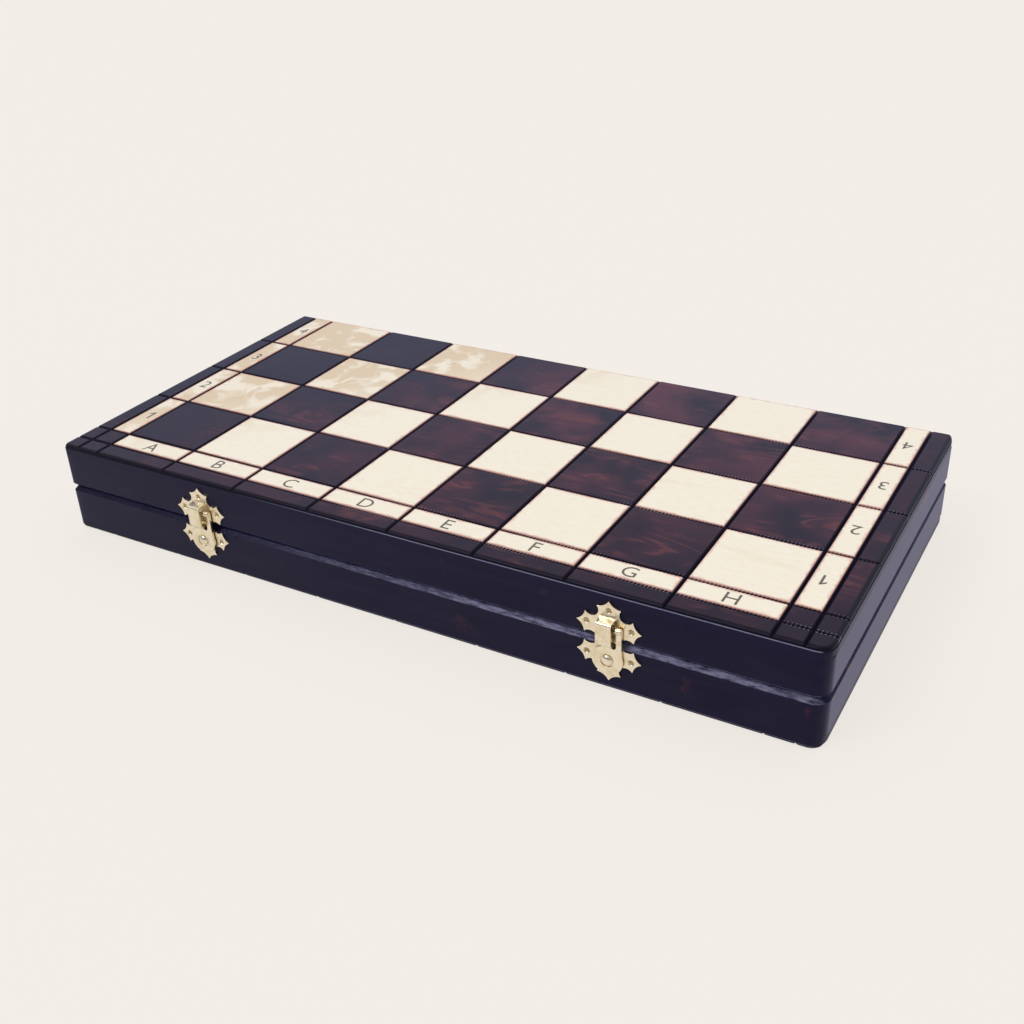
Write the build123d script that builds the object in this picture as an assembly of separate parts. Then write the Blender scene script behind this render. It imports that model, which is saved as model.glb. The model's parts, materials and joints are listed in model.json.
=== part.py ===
"""Folding chess box: two shallow wooden halves, hinged along one long edge.

Each half is a board panel with half of the chess board on its outside face, four
finger-jointed rails and a felt sheet inside. Two brass hinges join the halves at the
back, and two brass clasps hold them shut at the front: a hook turns on a rivet in the
lower half, and its nose slides into a folded keeper on the upper half.

Millimetres. +X runs along the files, -Y is the clasp side, +Z is up. The origin is the
middle of the bounding box, on the surface that the box stands on.
"""
import os
from math import cos, pi, sin

from build123d import *

# Board pattern
SQUARE = 39.0               # pitch of the squares
FILES = 8                   # squares along the length
RANKS_PER_HALF = 4          # squares across one half
LABEL_STRIP = 11.5          # strip for the letters and numbers
BORDER = 9.5                # plain strip outside the labels
GROOVE_WIDTH = 2.0          # V-groove between the squares, at the face
GROOVE_DEPTH = 1.3

# Wooden halves
PANEL_THICKNESS = 5.0
RAIL_HEIGHT = 16.5
RAIL_THICKNESS = 10.0
FINGERS = 3                 # fingers in the height of a rail
FRONT_CORNER_R = 6.0
BACK_CORNER_R = 3.0
EDGE_BEVEL = 1.6            # of a board panel's outer edge
EDGE_STEP = 0.3             # small step below it, in plan
RIM_CHAMFER = 1.7           # outer edge of a rail where the halves meet
RIM_GAP = 0.3               # between the closed rims
SEAM_GAP = 0.3              # between the back faces of the opened board
FELT_THICKNESS = 1.0
FELT_CLEARANCE = 0.4        # between the felt sheet and the rails

# Hinges
HINGE_SPACING = 210.0       # middle to middle
HINGE_LENGTH = 30.0
LEAF_WIDTH = 8.0            # let into the rim, from the back face inwards
LEAF_THICKNESS = 0.9
LEAF_GAP = 0.2              # between the two leaves of a closed hinge
KNUCKLES = 3
KNUCKLE_R = 1.5
KNUCKLE_CLEARANCE = 0.1     # around a knuckle and at its ends
PIN_R = 0.75
PIN_CLEARANCE = 0.05        # running clearance in the lid's knuckles
LEAF_SCREWS = 2
LEAF_SCREW_PITCH = 16.0
SCREW_HEAD_R = 1.7
SCREW_SHANK_R = 0.9
SCREW_LENGTH = 11.0
FASTENER_SIDES = 8          # screws and nails are drawn eight-sided
HEAD_LAND = 0.1             # straight edge of their heads, above the cone

# Clasps, common to both plates
CLASP_SPACING = 193.3       # middle to middle
BRASS_SHEET = 0.8
PLATE_TIP = (0.0, 16.3)     # outline of one half of a plate, from the plate's foot line
PLATE_SHOULDER = (5.0, 13.3)
PLATE_SPIKE = (9.5, 9.9)
PLATE_SIDE_TIP = (13.2, 5.2)
PLATE_LOW_SPIKE = (10.0, 0.5)
PLATE_FOOT = (5.2, 0.6)
BITE_SAG = 3.3              # deep arc between the top lobe and a side lobe
LOBE_SAG = 0.85             # shallow arcs between the points of a lobe
FOOT_SAG = 1.0
PLATE_TIP_CUT = 0.3         # the points are blunted by this much
NAIL_SIDE = (8.95, 5.45)    # nail in a side lobe
NAIL_TOP = (0.0, 12.05)     # nail in the top lobe, keeper plate only
NAIL_HEAD_R = 1.3
NAIL_SHANK_R = 0.5
NAIL_LENGTH = 7.8           # with its head

# Keeper, folded from the upper plate's foot
KEEPER_PLATE_RISE = 1.85    # foot line above the joint
KEEPER_LEFT = -3.6
KEEPER_RIGHT = 2.6
KEEPER_BOTTOM = 0.0         # underside of the fold, from the joint
KEEPER_HEIGHT = 10.4        # from there to the top of its flat face
KEEPER_CAP = 0.9            # rise of the end that returns to the plate
KEEPER_PROUD = 4.8          # from the rail to its face
KEEPER_FOLD_R = 2.0         # outside radius of the lower fold
KEEPER_TOP_R = 1.0          # outside radius of the upper fold

# Hook, turning on the rivet
HOOK_PLATE_DROP = 0.75      # lower plate's foot line below the joint
RIVET_DROP = 6.8            # rivet below the joint
RIVET_SHANK_R = 1.4
RIVET_COLLAR_R = 2.6
RIVET_HEAD_R = 2.3
RIVET_HEAD_HEIGHT = 1.4
RIVET_HEAD_BEVELS = 2       # rings that round the head
HOOK_RUNNING_GAP = 0.05     # around the shank and at both faces of the hook
HOOK_CLEARANCE = 0.4        # from the plate to the hook's back
HOOK_THICKNESS = 1.2
RECESS_R = 2.8              # recess round the rivet's head
RECESS_DEPTH = 0.5
HOOK_BODY_R = 6.2
ARM_RIGHT = 5.8
ARM_WIDTH = 2.2
ARM_TOP = 7.4               # middle of the arm's curled end, above the joint
CURL_R = 1.2
CROTCH_R = 1.0              # between the round body and the arm
NOSE_THICKNESS = 0.7
NOSE_LEFT = -2.8
NOSE_INNER_R = 8.6          # the nose's edges are arcs around the rivet
NOSE_OUTER_R = 12.9
NOSE_END_R = 1.0

# Derived sizes
MARGIN = LABEL_STRIP + BORDER
LENGTH = FILES * SQUARE + 2 * MARGIN
DEPTH = RANKS_PER_HALF * SQUARE + MARGIN
RIM = PANEL_THICKNESS + RAIL_HEIGHT
JOINT = RIM + RIM_GAP / 2                       # height of the plane where the halves meet
HOOK_BACK = BRASS_SHEET + HOOK_CLEARANCE        # the next four are measured from the rail
HOOK_FACE = HOOK_BACK + HOOK_THICKNESS
HEAD_SEAT = HOOK_FACE - RECESS_DEPTH + HOOK_RUNNING_GAP
RIVET_TOP = HEAD_SEAT + RIVET_HEAD_HEIGHT
FRONT_REACH = max(RIVET_TOP, KEEPER_PROUD, HOOK_BACK + 2 * CURL_R)
BACK_REACH = SEAM_GAP / 2 + KNUCKLE_R
Y_FRONT = FRONT_REACH - (DEPTH + FRONT_REACH + BACK_REACH) / 2
Y_BACK = Y_FRONT + DEPTH
HINGE_Y = Y_BACK + SEAM_GAP / 2
FILE_LINES = [(i - FILES / 2) * SQUARE for i in range(FILES + 1)]
RANK_LINES = [Y_BACK - i * SQUARE for i in range(RANKS_PER_HALF + 1)]
HINGE_XS = {"left": -HINGE_SPACING / 2, "right": HINGE_SPACING / 2}
CLASP_XS = {"left": -CLASP_SPACING / 2, "right": CLASP_SPACING / 2}


def block(x, y, z):
    """Box between two coordinates on each axis."""
    centre = Pos(sum(x) / 2, sum(y) / 2, sum(z) / 2)
    return centre * Box(x[1] - x[0], y[1] - y[0], z[1] - z[0])


def upper(shape):
    """The upper half's copy of a piece of the lower half."""
    return mirror(shape, about=Plane.XY.offset(JOINT))


def outline(y_back, back_r):
    """Plan of one half: a rectangle with rounded corners, at z = 0."""
    plan = Pos(0, (Y_FRONT + y_back) / 2) * Rectangle(LENGTH, y_back - Y_FRONT)
    plan = fillet(plan.vertices().sort_by(Axis.Y)[:2], FRONT_CORNER_R)
    return fillet(plan.vertices().sort_by(Axis.Y)[-2:], back_r)


def groove(length):
    """V-groove cutter along Y, its mouth at z = 0 and opening downwards."""
    overrun = 1.5           # the cutter is this much larger than the groove, below the face
    half = GROOVE_WIDTH / 2 * overrun
    mouth = GROOVE_DEPTH * (1 - overrun)
    section = make_face(Polyline((-half, mouth), (half, mouth), (0, GROOVE_DEPTH), close=True))
    return extrude(Plane.XZ * section, amount=length / 2, both=True)


def board_panel():
    """Board panel of the lower half, its grooved face down, bevelled and stepped at its edge."""
    beyond = outline(Y_BACK + 4 * BACK_CORNER_R, BACK_CORNER_R)     # past the plain back edge
    raised = extrude(offset(beyond, -EDGE_STEP), PANEL_THICKNESS)
    raised = chamfer(raised.edges().group_by(Axis.Z)[0], EDGE_BEVEL)
    stepped = Pos(0, 0, EDGE_BEVEL) * extrude(beyond, PANEL_THICKNESS - EDGE_BEVEL)
    panel = (raised + stepped) & extrude(outline(Y_BACK, BACK_CORNER_R), PANEL_THICKNESS)
    across = [FILE_LINES[0] - LABEL_STRIP, *FILE_LINES, FILE_LINES[-1] + LABEL_STRIP]
    along = [*RANK_LINES, RANK_LINES[-1] - LABEL_STRIP]
    long_groove = Rot(0, 0, 90) * groove(LENGTH * 1.1)
    cuts = [Pos(x, (Y_FRONT + Y_BACK) / 2) * groove(DEPTH * 1.1) for x in across]
    cuts += [Pos(0, y) * long_groove for y in along]
    return panel - cuts


def rail_ring():
    """The four rails in one ring, chamfered at the rim."""
    ring = Pos(0, 0, PANEL_THICKNESS) * extrude(outline(Y_BACK, BACK_CORNER_R), RAIL_HEIGHT)
    ring = chamfer(ring.edges().group_by(Axis.Z)[-1], RIM_CHAMFER)
    inside_x = LENGTH / 2 - RAIL_THICKNESS
    inside_y = (Y_FRONT + RAIL_THICKNESS, Y_BACK - RAIL_THICKNESS)
    return ring - block((-inside_x, inside_x), inside_y, (0, 2 * RIM))


def corner_fingers(first):
    """Boxes round the four corners at every second finger, starting from the given one."""
    height = RAIL_HEIGHT / FINGERS
    inner = LENGTH / 2 - RAIL_THICKNESS
    boxes = []
    for level in range(first, FINGERS, 2):
        z = (PANEL_THICKNESS + level * height, PANEL_THICKNESS + (level + 1) * height)
        for x in ((-LENGTH / 2, -inner), (inner, LENGTH / 2)):
            for y in ((Y_FRONT, Y_FRONT + RAIL_THICKNESS), (Y_BACK - RAIL_THICKNESS, Y_BACK)):
                boxes.append(block(x, y, z))
    return boxes


def rails():
    """The lower half's rails: front and back keep the end fingers, the sides the others."""
    ring = rail_ring()
    z = (PANEL_THICKNESS, RIM)
    long_x = (-LENGTH / 2, LENGTH / 2)
    inner = LENGTH / 2 - RAIL_THICKNESS
    strips = {
        "front_rail": (block(long_x, (Y_FRONT, Y_FRONT + RAIL_THICKNESS), z), 1),
        "back_rail": (block(long_x, (Y_BACK - RAIL_THICKNESS, Y_BACK), z), 1),
        "left_rail": (block((-LENGTH / 2, -inner), (Y_FRONT, Y_BACK), z), 0),
        "right_rail": (block((inner, LENGTH / 2), (Y_FRONT, Y_BACK), z), 0),
    }
    return {name: (ring & strip) - corner_fingers(first) for name, (strip, first) in strips.items()}


def felt():
    """Felt sheet glued inside the lower half."""
    inset = RAIL_THICKNESS + FELT_CLEARANCE
    x = LENGTH / 2 - inset
    z = (PANEL_THICKNESS, PANEL_THICKNESS + FELT_THICKNESS)
    return block((-x, x), (Y_FRONT + inset, Y_BACK - inset), z)


# ---------------------------------------------------------------- hinges

def along_hinge(radius, x_low, x_high):
    """Cylinder on the hinge axis between two distances along X."""
    length = x_high - x_low
    return Pos((x_low + x_high) / 2, HINGE_Y, JOINT) * Rot(0, 90, 0) * Cylinder(radius, length)


def knuckle_spans(first, growth):
    """X ranges of every second knuckle from the given one, each end moved out by growth."""
    pitch = HINGE_LENGTH / KNUCKLES
    starts = [k * pitch - HINGE_LENGTH / 2 for k in range(first, KNUCKLES, 2)]
    return [(start - growth, start + pitch + growth) for start in starts]


def hinge_leaf(first, bore_r):
    """Lower leaf about X = 0 whose knuckles start from the given one, without its screw holes."""
    z_top = JOINT - LEAF_GAP / 2
    half = HINGE_LENGTH / 2
    leaf = block((-half, half), (Y_BACK - LEAF_WIDTH, HINGE_Y), (z_top - LEAF_THICKNESS, z_top))
    end_gap = KNUCKLE_CLEARANCE / 2
    leaf = leaf - [along_hinge(KNUCKLE_R + KNUCKLE_CLEARANCE, *span)
                   for span in knuckle_spans(1 - first, end_gap)]
    leaf = leaf + [along_hinge(KNUCKLE_R, *span) for span in knuckle_spans(first, -end_gap)]
    return leaf - along_hinge(bore_r, -HINGE_LENGTH, HINGE_LENGTH)


def countersunk(head_r, head_depth, shank_r, length):
    """Screw or nail with its head's flat face up at z = 0."""
    head = extrude(RegularPolygon(head_r, FASTENER_SIDES), head_depth, dir=(0, 0, -1))
    under = head.faces().sort_by(Axis.Z)[0]
    cone = (head_r - shank_r) * cos(pi / FASTENER_SIDES)
    head = chamfer(under.edges(), cone, head_depth - HEAD_LAND, reference=under)
    return head + extrude(RegularPolygon(shank_r, FASTENER_SIDES), length, dir=(0, 0, -1))


def leaf_screws(x_hinge):
    """The screws of a lower leaf."""
    first = -(LEAF_SCREWS - 1) / 2 * LEAF_SCREW_PITCH
    y = Y_BACK - (LEAF_WIDTH + KNUCKLE_R) / 2
    z = JOINT - LEAF_GAP / 2
    xs = [x_hinge + first + i * LEAF_SCREW_PITCH for i in range(LEAF_SCREWS)]
    screw = countersunk(SCREW_HEAD_R, LEAF_THICKNESS, SCREW_SHANK_R, SCREW_LENGTH)
    return [Pos(x, y, z) * screw for x in xs]


def hinge_pocket(x_hinge):
    """What a hinge takes out of the lower back rail: the leaf's recess and room for knuckles."""
    half = HINGE_LENGTH / 2
    bottom = JOINT - LEAF_GAP / 2 - LEAF_THICKNESS
    recess = block((x_hinge - half, x_hinge + half), (Y_BACK - LEAF_WIDTH, HINGE_Y), (bottom, JOINT))
    turning = along_hinge(KNUCKLE_R + KNUCKLE_CLEARANCE, x_hinge - half, x_hinge + half)
    return [recess, turning]


# ---------------------------------------------------------------- clasps
# A clasp is drawn in its own plane: first axis along X from its middle, second axis up
# from the joint, and heights measured outwards from the rail's face.

CLASP_PLANE = Plane(origin=(0, Y_FRONT, JOINT), x_dir=(1, 0, 0), z_dir=(0, -1, 0))


def clasp_layer(face, low, high):
    """Flat layer of a clasp between two distances from the rail."""
    return CLASP_PLANE * (Pos(0, 0, low) * extrude(face, high - low, dir=(0, 0, 1)))


def plate():
    """Stamped plate above its foot line: three lobes of three blunt points each."""
    corners = [PLATE_FOOT, PLATE_LOW_SPIKE, PLATE_SIDE_TIP, PLATE_SPIKE, PLATE_SHOULDER, PLATE_TIP]
    sags = [FOOT_SAG, LOBE_SAG, LOBE_SAG, BITE_SAG, LOBE_SAG]
    right = [SagittaArc(a, b, sag) for a, b, sag in zip(corners, corners[1:], sags)]
    left = [mirror(arc, about=Plane.YZ) for arc in right]
    foot = Line((-PLATE_FOOT[0], PLATE_FOOT[1]), PLATE_FOOT)
    sheet = clasp_layer(make_face([*right, *left, foot]), 0, BRASS_SHEET)
    return chamfer(sheet.edges().filter_by(Axis.Y), PLATE_TIP_CUT)


def nails(places):
    """Nails of a plate, their heads let into its face."""
    nail = countersunk(NAIL_HEAD_R, BRASS_SHEET, NAIL_SHANK_R, NAIL_LENGTH)
    return [CLASP_PLANE * Pos(u, w, BRASS_SHEET) * nail for u, w in places]


def keeper_nail_places():
    """Nail positions of the upper plate."""
    u, w = NAIL_SIDE
    rise = KEEPER_PLATE_RISE
    return [(-u, w + rise), (u, w + rise), (NAIL_TOP[0], NAIL_TOP[1] + rise)]


def hook_nail_places():
    """Nail positions of the lower plate."""
    u, w = NAIL_SIDE
    return [(-u, -w - HOOK_PLATE_DROP), (u, -w - HOOK_PLATE_DROP)]


def keeper():
    """Strip folded outwards at the plate's foot, up over the hook's nose and back to the plate."""
    top = KEEPER_BOTTOM + KEEPER_HEIGHT
    # points are (distance from the rail, height above the joint)
    section = make_face(Polyline((0, KEEPER_BOTTOM), (KEEPER_PROUD, KEEPER_BOTTOM), (KEEPER_PROUD, top),
                                 (0, top + KEEPER_CAP), close=True))
    low, high = section.vertices().sort_by(Axis.X)[-2:].sort_by(Axis.Y)
    section = fillet(low, KEEPER_FOLD_R)
    high = section.vertices().sort_by_distance(high)[0]
    section = fillet(high, KEEPER_TOP_R)
    strip = section - offset(section, -BRASS_SHEET)
    side = Plane(origin=(KEEPER_LEFT, Y_FRONT, JOINT), x_dir=(0, -1, 0), z_dir=(-1, 0, 0))
    return extrude(side * strip, KEEPER_RIGHT - KEEPER_LEFT, dir=(1, 0, 0))


def keeper_plate():
    """Upper plate with its keeper, without nail holes."""
    return (Pos(0, 0, KEEPER_PLATE_RISE) * plate()) + keeper()


def hook_plate():
    """Lower plate, bored for the rivet but without nail holes."""
    return (Pos(0, 0, -HOOK_PLATE_DROP) * upper(plate())) - rivet_hole(RIVET_SHANK_R, 0)


def rivet():
    """Rivet that carries the hook, from the plate's back: shank, collar and rounded head."""
    collar_top = HOOK_BACK - HOOK_RUNNING_GAP
    angles = [i * pi / (2 * RIVET_HEAD_BEVELS + 1) for i in range(RIVET_HEAD_BEVELS + 1)]
    rise = RIVET_HEAD_HEIGHT / sin(angles[-1])
    # points are (radius, distance from the rail); the head's lie on an ellipse
    head = [(RIVET_HEAD_R * cos(a), HEAD_SEAT + rise * sin(a)) for a in angles]
    profile = Polyline(
        (0, RIVET_TOP), (0, 0), (RIVET_SHANK_R, 0), (RIVET_SHANK_R, BRASS_SHEET),
        (RIVET_COLLAR_R, BRASS_SHEET), (RIVET_COLLAR_R, collar_top), (RIVET_SHANK_R, collar_top),
        (RIVET_SHANK_R, HEAD_SEAT), *head, close=True)
    solid = revolve(Plane.XZ * make_face(profile), Axis.Z)
    return CLASP_PLANE * Pos(0, -RIVET_DROP) * solid


def rivet_hole(radius, low):
    """Straight hole for the rivet, outwards from the given distance from the rail."""
    height = 2 * RIVET_TOP
    return CLASP_PLANE * Pos(0, -RIVET_DROP, low + height / 2) * Cylinder(radius, height)


def hook_outline():
    """Outline of the hook's round body and of its arm, with the crotch between them rounded."""
    reach = ARM_TOP + RIVET_DROP
    arm = Pos(ARM_RIGHT - ARM_WIDTH / 2, reach / 2 - RIVET_DROP) * Rectangle(ARM_WIDTH, reach)
    face = (Pos(0, -RIVET_DROP) * Circle(HOOK_BODY_R)) + arm
    over_arm_left = (ARM_RIGHT - ARM_WIDTH, HOOK_BODY_R - RIVET_DROP)
    crotch = face.vertices().sort_by_distance(over_arm_left)[0]
    return fillet(crotch, CROTCH_R)


def nose_outline():
    """Outline of the nose that lies in the keeper, from its rounded end to the arm."""
    right = ARM_RIGHT - ARM_WIDTH / 2
    ring = Pos(0, -RIVET_DROP) * (Circle(NOSE_OUTER_R) - Circle(NOSE_INNER_R))
    column = Pos((NOSE_LEFT + right) / 2, NOSE_OUTER_R / 2) * Rectangle(right - NOSE_LEFT, NOSE_OUTER_R)
    face = ring & column
    return fillet(face.vertices().sort_by(Axis.X)[:2], NOSE_END_R)


def hook():
    """Hook with its nose and the curled end of its arm, bored and recessed for the rivet."""
    body = clasp_layer(hook_outline(), HOOK_BACK, HOOK_FACE)
    nose = clasp_layer(nose_outline(), HOOK_BACK, HOOK_BACK + NOSE_THICKNESS)
    curl_at = Pos(ARM_RIGHT - ARM_WIDTH / 2, ARM_TOP, HOOK_BACK + CURL_R)
    curl = CLASP_PLANE * (curl_at * Rot(0, 90, 0) * Cylinder(CURL_R, ARM_WIDTH))
    recess = rivet_hole(RECESS_R, HOOK_FACE - RECESS_DEPTH)
    return body + nose + curl - recess - rivet_hole(RIVET_SHANK_R + HOOK_RUNNING_GAP, 0)


def build():
    """Every node's shape by name."""
    nodes = {"base_board": board_panel(), "base_felt": felt()}
    nodes.update({f"base_{name}": rail for name, rail in rails().items()})
    lower_names = list(nodes)
    nodes.update({name.replace("base_", "lid_"): upper(nodes[name]) for name in lower_names})

    base_screws = []
    for side, x in HINGE_XS.items():
        screws = leaf_screws(x)
        base_screws += screws
        lid_screws = [upper(screw) for screw in screws]
        place = Pos(x, 0, 0)
        nodes[f"base_hinge_leaf_{side}"] = (place * hinge_leaf(0, PIN_R)) - screws
        nodes[f"lid_hinge_leaf_{side}"] = upper(place * hinge_leaf(1, PIN_R + PIN_CLEARANCE)) - lid_screws
        nodes[f"hinge_pin_{side}"] = place * along_hinge(PIN_R, -HINGE_LENGTH / 2, HINGE_LENGTH / 2)
        pocket = hinge_pocket(x)
        nodes["base_back_rail"] -= pocket + screws
        nodes["lid_back_rail"] -= [upper(cut) for cut in pocket] + lid_screws
    nodes["base_hinge_screws"] = base_screws
    nodes["lid_hinge_screws"] = [upper(screw) for screw in base_screws]

    keeper_nails = nails(keeper_nail_places())
    hook_nails = nails(hook_nail_places())
    nodes["lid_clasp_nails"] = []
    nodes["base_clasp_nails"] = []
    for side, x in CLASP_XS.items():
        place = Pos(x, 0, 0)
        lid_nails = [place * nail for nail in keeper_nails]
        base_nails = [place * nail for nail in hook_nails]
        nodes[f"{side}_keeper_plate"] = (place * keeper_plate()) - lid_nails
        nodes[f"{side}_hook_plate"] = (place * hook_plate()) - base_nails
        nodes[f"{side}_rivet"] = place * rivet()
        nodes[f"{side}_hook"] = place * hook()
        nodes["lid_front_rail"] -= lid_nails
        nodes["base_front_rail"] -= base_nails
        nodes["lid_clasp_nails"] += lid_nails
        nodes["base_clasp_nails"] += base_nails
    return nodes


def main():
    """Write each node to its own STEP file."""
    os.makedirs("parts", exist_ok=True)
    for name, shape in build().items():
        solids = shape if isinstance(shape, list) else [shape]
        solids = [solid for piece in solids for solid in piece.solids()]
        whole = solids[0] if len(solids) == 1 else Compound(children=solids)
        export_step(whole, f"parts/{name}.step")


main()
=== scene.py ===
import json

import bmesh
import bpy
import numpy as np
from mathutils import Matrix, Vector


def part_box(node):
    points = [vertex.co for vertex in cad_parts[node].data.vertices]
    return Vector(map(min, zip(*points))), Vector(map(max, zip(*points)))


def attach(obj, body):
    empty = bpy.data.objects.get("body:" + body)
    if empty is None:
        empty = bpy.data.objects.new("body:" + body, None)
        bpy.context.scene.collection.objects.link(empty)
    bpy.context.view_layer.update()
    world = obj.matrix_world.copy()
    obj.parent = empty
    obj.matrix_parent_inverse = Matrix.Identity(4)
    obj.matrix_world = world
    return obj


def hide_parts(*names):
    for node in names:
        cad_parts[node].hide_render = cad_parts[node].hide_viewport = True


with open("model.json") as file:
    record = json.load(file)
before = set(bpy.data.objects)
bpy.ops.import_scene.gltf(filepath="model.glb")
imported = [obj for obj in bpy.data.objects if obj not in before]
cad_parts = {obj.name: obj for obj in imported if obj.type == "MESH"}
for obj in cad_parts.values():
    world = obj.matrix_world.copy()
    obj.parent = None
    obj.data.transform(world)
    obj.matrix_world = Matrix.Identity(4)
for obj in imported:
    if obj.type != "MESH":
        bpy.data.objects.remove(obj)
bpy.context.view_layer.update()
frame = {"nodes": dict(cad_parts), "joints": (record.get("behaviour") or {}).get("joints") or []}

# The folding chess box in its finishes: the grooved and stained board faces, the lacquered
# rails, the stamped brass, the felt, and a plain studio round it.

MM = 0.001

# Board pattern
SQUARE = 39.0 * MM
FILES = 8
RANKS = 4
LABEL_STRIP = 11.5 * MM
GROOVE_WIDTH = 2.0 * MM
GROOVE_DEPTH = 1.3 * MM
CHATTER = 1.5 * MM              # pitch of the cutter marks in the long grooves
CHATTER_START = -110.0 * MM     # they start here along the box
CHATTER_FULL = -30.0 * MM       # and have their full strength from here
CHATTER_SWING = 61.0 * MM       # pitch of the swing in their strength
OPEN_GROOVE_SHARE = 0.3         # their strength in the half groove along the open edge
LIFTED_MOUTH = 0.5              # share of a groove's width that the lifted cutter takes off
LIFTED_DEPTH = 0.8              # and share of its depth
GROOVE_LIFT = 7.0 * MM          # the cutter lifts over this length before the back edge
GROOVE_END_DEPTH = 0.3          # to this share of the full depth
EDGE_ROUND = 1.6 * MM           # rounded outer edge of a board face
EDGE_STEP = 0.3 * MM            # narrow bevelled ledge below it
CORNER_R = 6.0 * MM             # front right corner
LEFT_CORNER_R = 2.5 * MM        # front left corner, which the photograph shows nearly sharp
BACK_CORNER_R = 3.0 * MM
DUBBED_R = 4.5 * MM             # back right corner of a board face, worn rounder than its rails
DUBBED_FADE = 0.57              # weight of the way back in it, below 1: the edge runs out
SIDE_BAND = 2.6 * MM            # near-black band along the right edge
FRONT_BAND = 2.1 * MM           # and along the front edge
BAND_FADE = 0.8 * MM            # width over which it fades in
BURNT = 0.4                     # share of a groove's depth at which it is fully black
LABEL_HEIGHT = 6.7 * MM
INK = 0.02 * MM                 # how far the labels' ink stands on the lacquer
CONTOURS = 6.0                  # streaks for each unit of the veneer's figure
SINK = 0.03 * MM                # the face lies this far inside the CAD face, to leave room for ink

# Places, from the frame
LOW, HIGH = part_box("lid_board")
HALF_LENGTH = HIGH.x
Y_FRONT, Y_BACK = LOW.y, HIGH.y
FACE_Z, PANEL_Z = HIGH.z - SINK, LOW.z
JOINT_Z = frame["joints"][0]["pos_m"][2]
RIM_CHAMFER = 1.7 * MM
HALF_FILES = FILES * SQUARE / 2
RANK_FRONT = Y_BACK - RANKS * SQUARE
LABEL_FRONT = RANK_FRONT - LABEL_STRIP
LABEL_SIDE = HALF_FILES + LABEL_STRIP
LINES_X = [(i - FILES / 2) * SQUARE for i in range(FILES + 1)] + [-LABEL_SIDE, LABEL_SIDE]
LINES_Y = [Y_BACK - i * SQUARE for i in range(RANKS + 1)] + [LABEL_FRONT]

# Felt and corner posts
FELT_EDGE = 0.5 * MM            # round of its cut edge
FELT_NAP = 0.05 * MM            # how far its nap waves
FELT_PITCH = 3.0 * MM
POST_SINK = 0.4 * MM            # how far a post reaches into the rails' arc

# Clasps and hinges
CLASPS = {"left": -96.65 * MM, "right": 96.65 * MM}
NAIL_SIDE = (8.95 * MM, 5.45 * MM)      # nail in a side lobe, from the plate's foot line
NAIL_TOP = 12.05 * MM                   # nail in the top lobe, from there
KEEPER_PLATE_RISE = 1.85 * MM           # foot line of the upper plate above the joint
HOOK_PLATE_DROP = 0.75 * MM             # foot line of the lower plate below the joint
RIVET_DROP = 6.8 * MM
HINGES = (-105.0 * MM, 105.0 * MM)
SCREW_SPREAD = 8.0 * MM                 # screws of a leaf lie this far from its middle
LEAF_FACE = 0.1 * MM                    # face of a leaf from the joint
SCREW_INSET = 4.75 * MM                 # screws from the back face
SOFT_EDGE = 0.12 * MM                   # bevel on the stamped brass
CLASP_AXES = ((1, 0, 0), (0, 0, 1), (0, -1, 0))         # a clasp's right, up and outward axes

# Turned profiles, as (radius, height) in mm from the top of the axis down
NAIL_PROFILE = ((0, 0.68), (0.45, 0.66), (0.8, 0.6), (1.0, 0.5), (1.05, 0.4), (0.5, -0.2),
                (0.5, -6.0), (0, -7.0))
RIVET_DOME = (2.3, 1.4, 1.95)           # radius, rise and height of its foot
RIVET_STEM = ((1.4, 1.95), (1.4, 1.15), (2.6, 1.15), (2.6, 0.8), (1.4, 0.8), (1.4, 0), (0, 0))
SCREW_PROFILE = ((0, -0.35), (1.6, -0.35), (1.6, -0.45), (0.9, -1.1), (0.9, -9.5), (0, -10.9))
SCREW_LUG = (1.6 * MM, 0.5 * MM, -0.35 * MM, -0.02 * MM)    # radius, slot width, foot and top

# Studio, in metres
BACKDROP = "#F3EEE8"
WINDOW_TOWARDS = (-0.38, -0.57, 0.71)   # where the light comes from
WINDOW_AWAY = 40.0
WINDOW_SIZE = (7.2, 5.6)
WINDOW_APART = 4.4                      # each panel's middle from the pair's middle
WINDOW_RADIANCE = 16.0
FLOOR_REACH = 6.0
FLOOR_GLOW = 0.85                       # share of the floor's colour that doesn't take shadow


# ---------------------------------------------------------------- finishes

def linear(hex_colour):
    """Linear colour of an sRGB hex value, with full alpha."""
    srgb = np.array([int(hex_colour[i:i + 2], 16) / 255 for i in (1, 3, 5)])
    rgb = np.where(srgb <= 0.04045, srgb / 12.92, ((srgb + 0.055) / 1.055) ** 2.4)
    return (*rgb.tolist(), 1.0)


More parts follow.
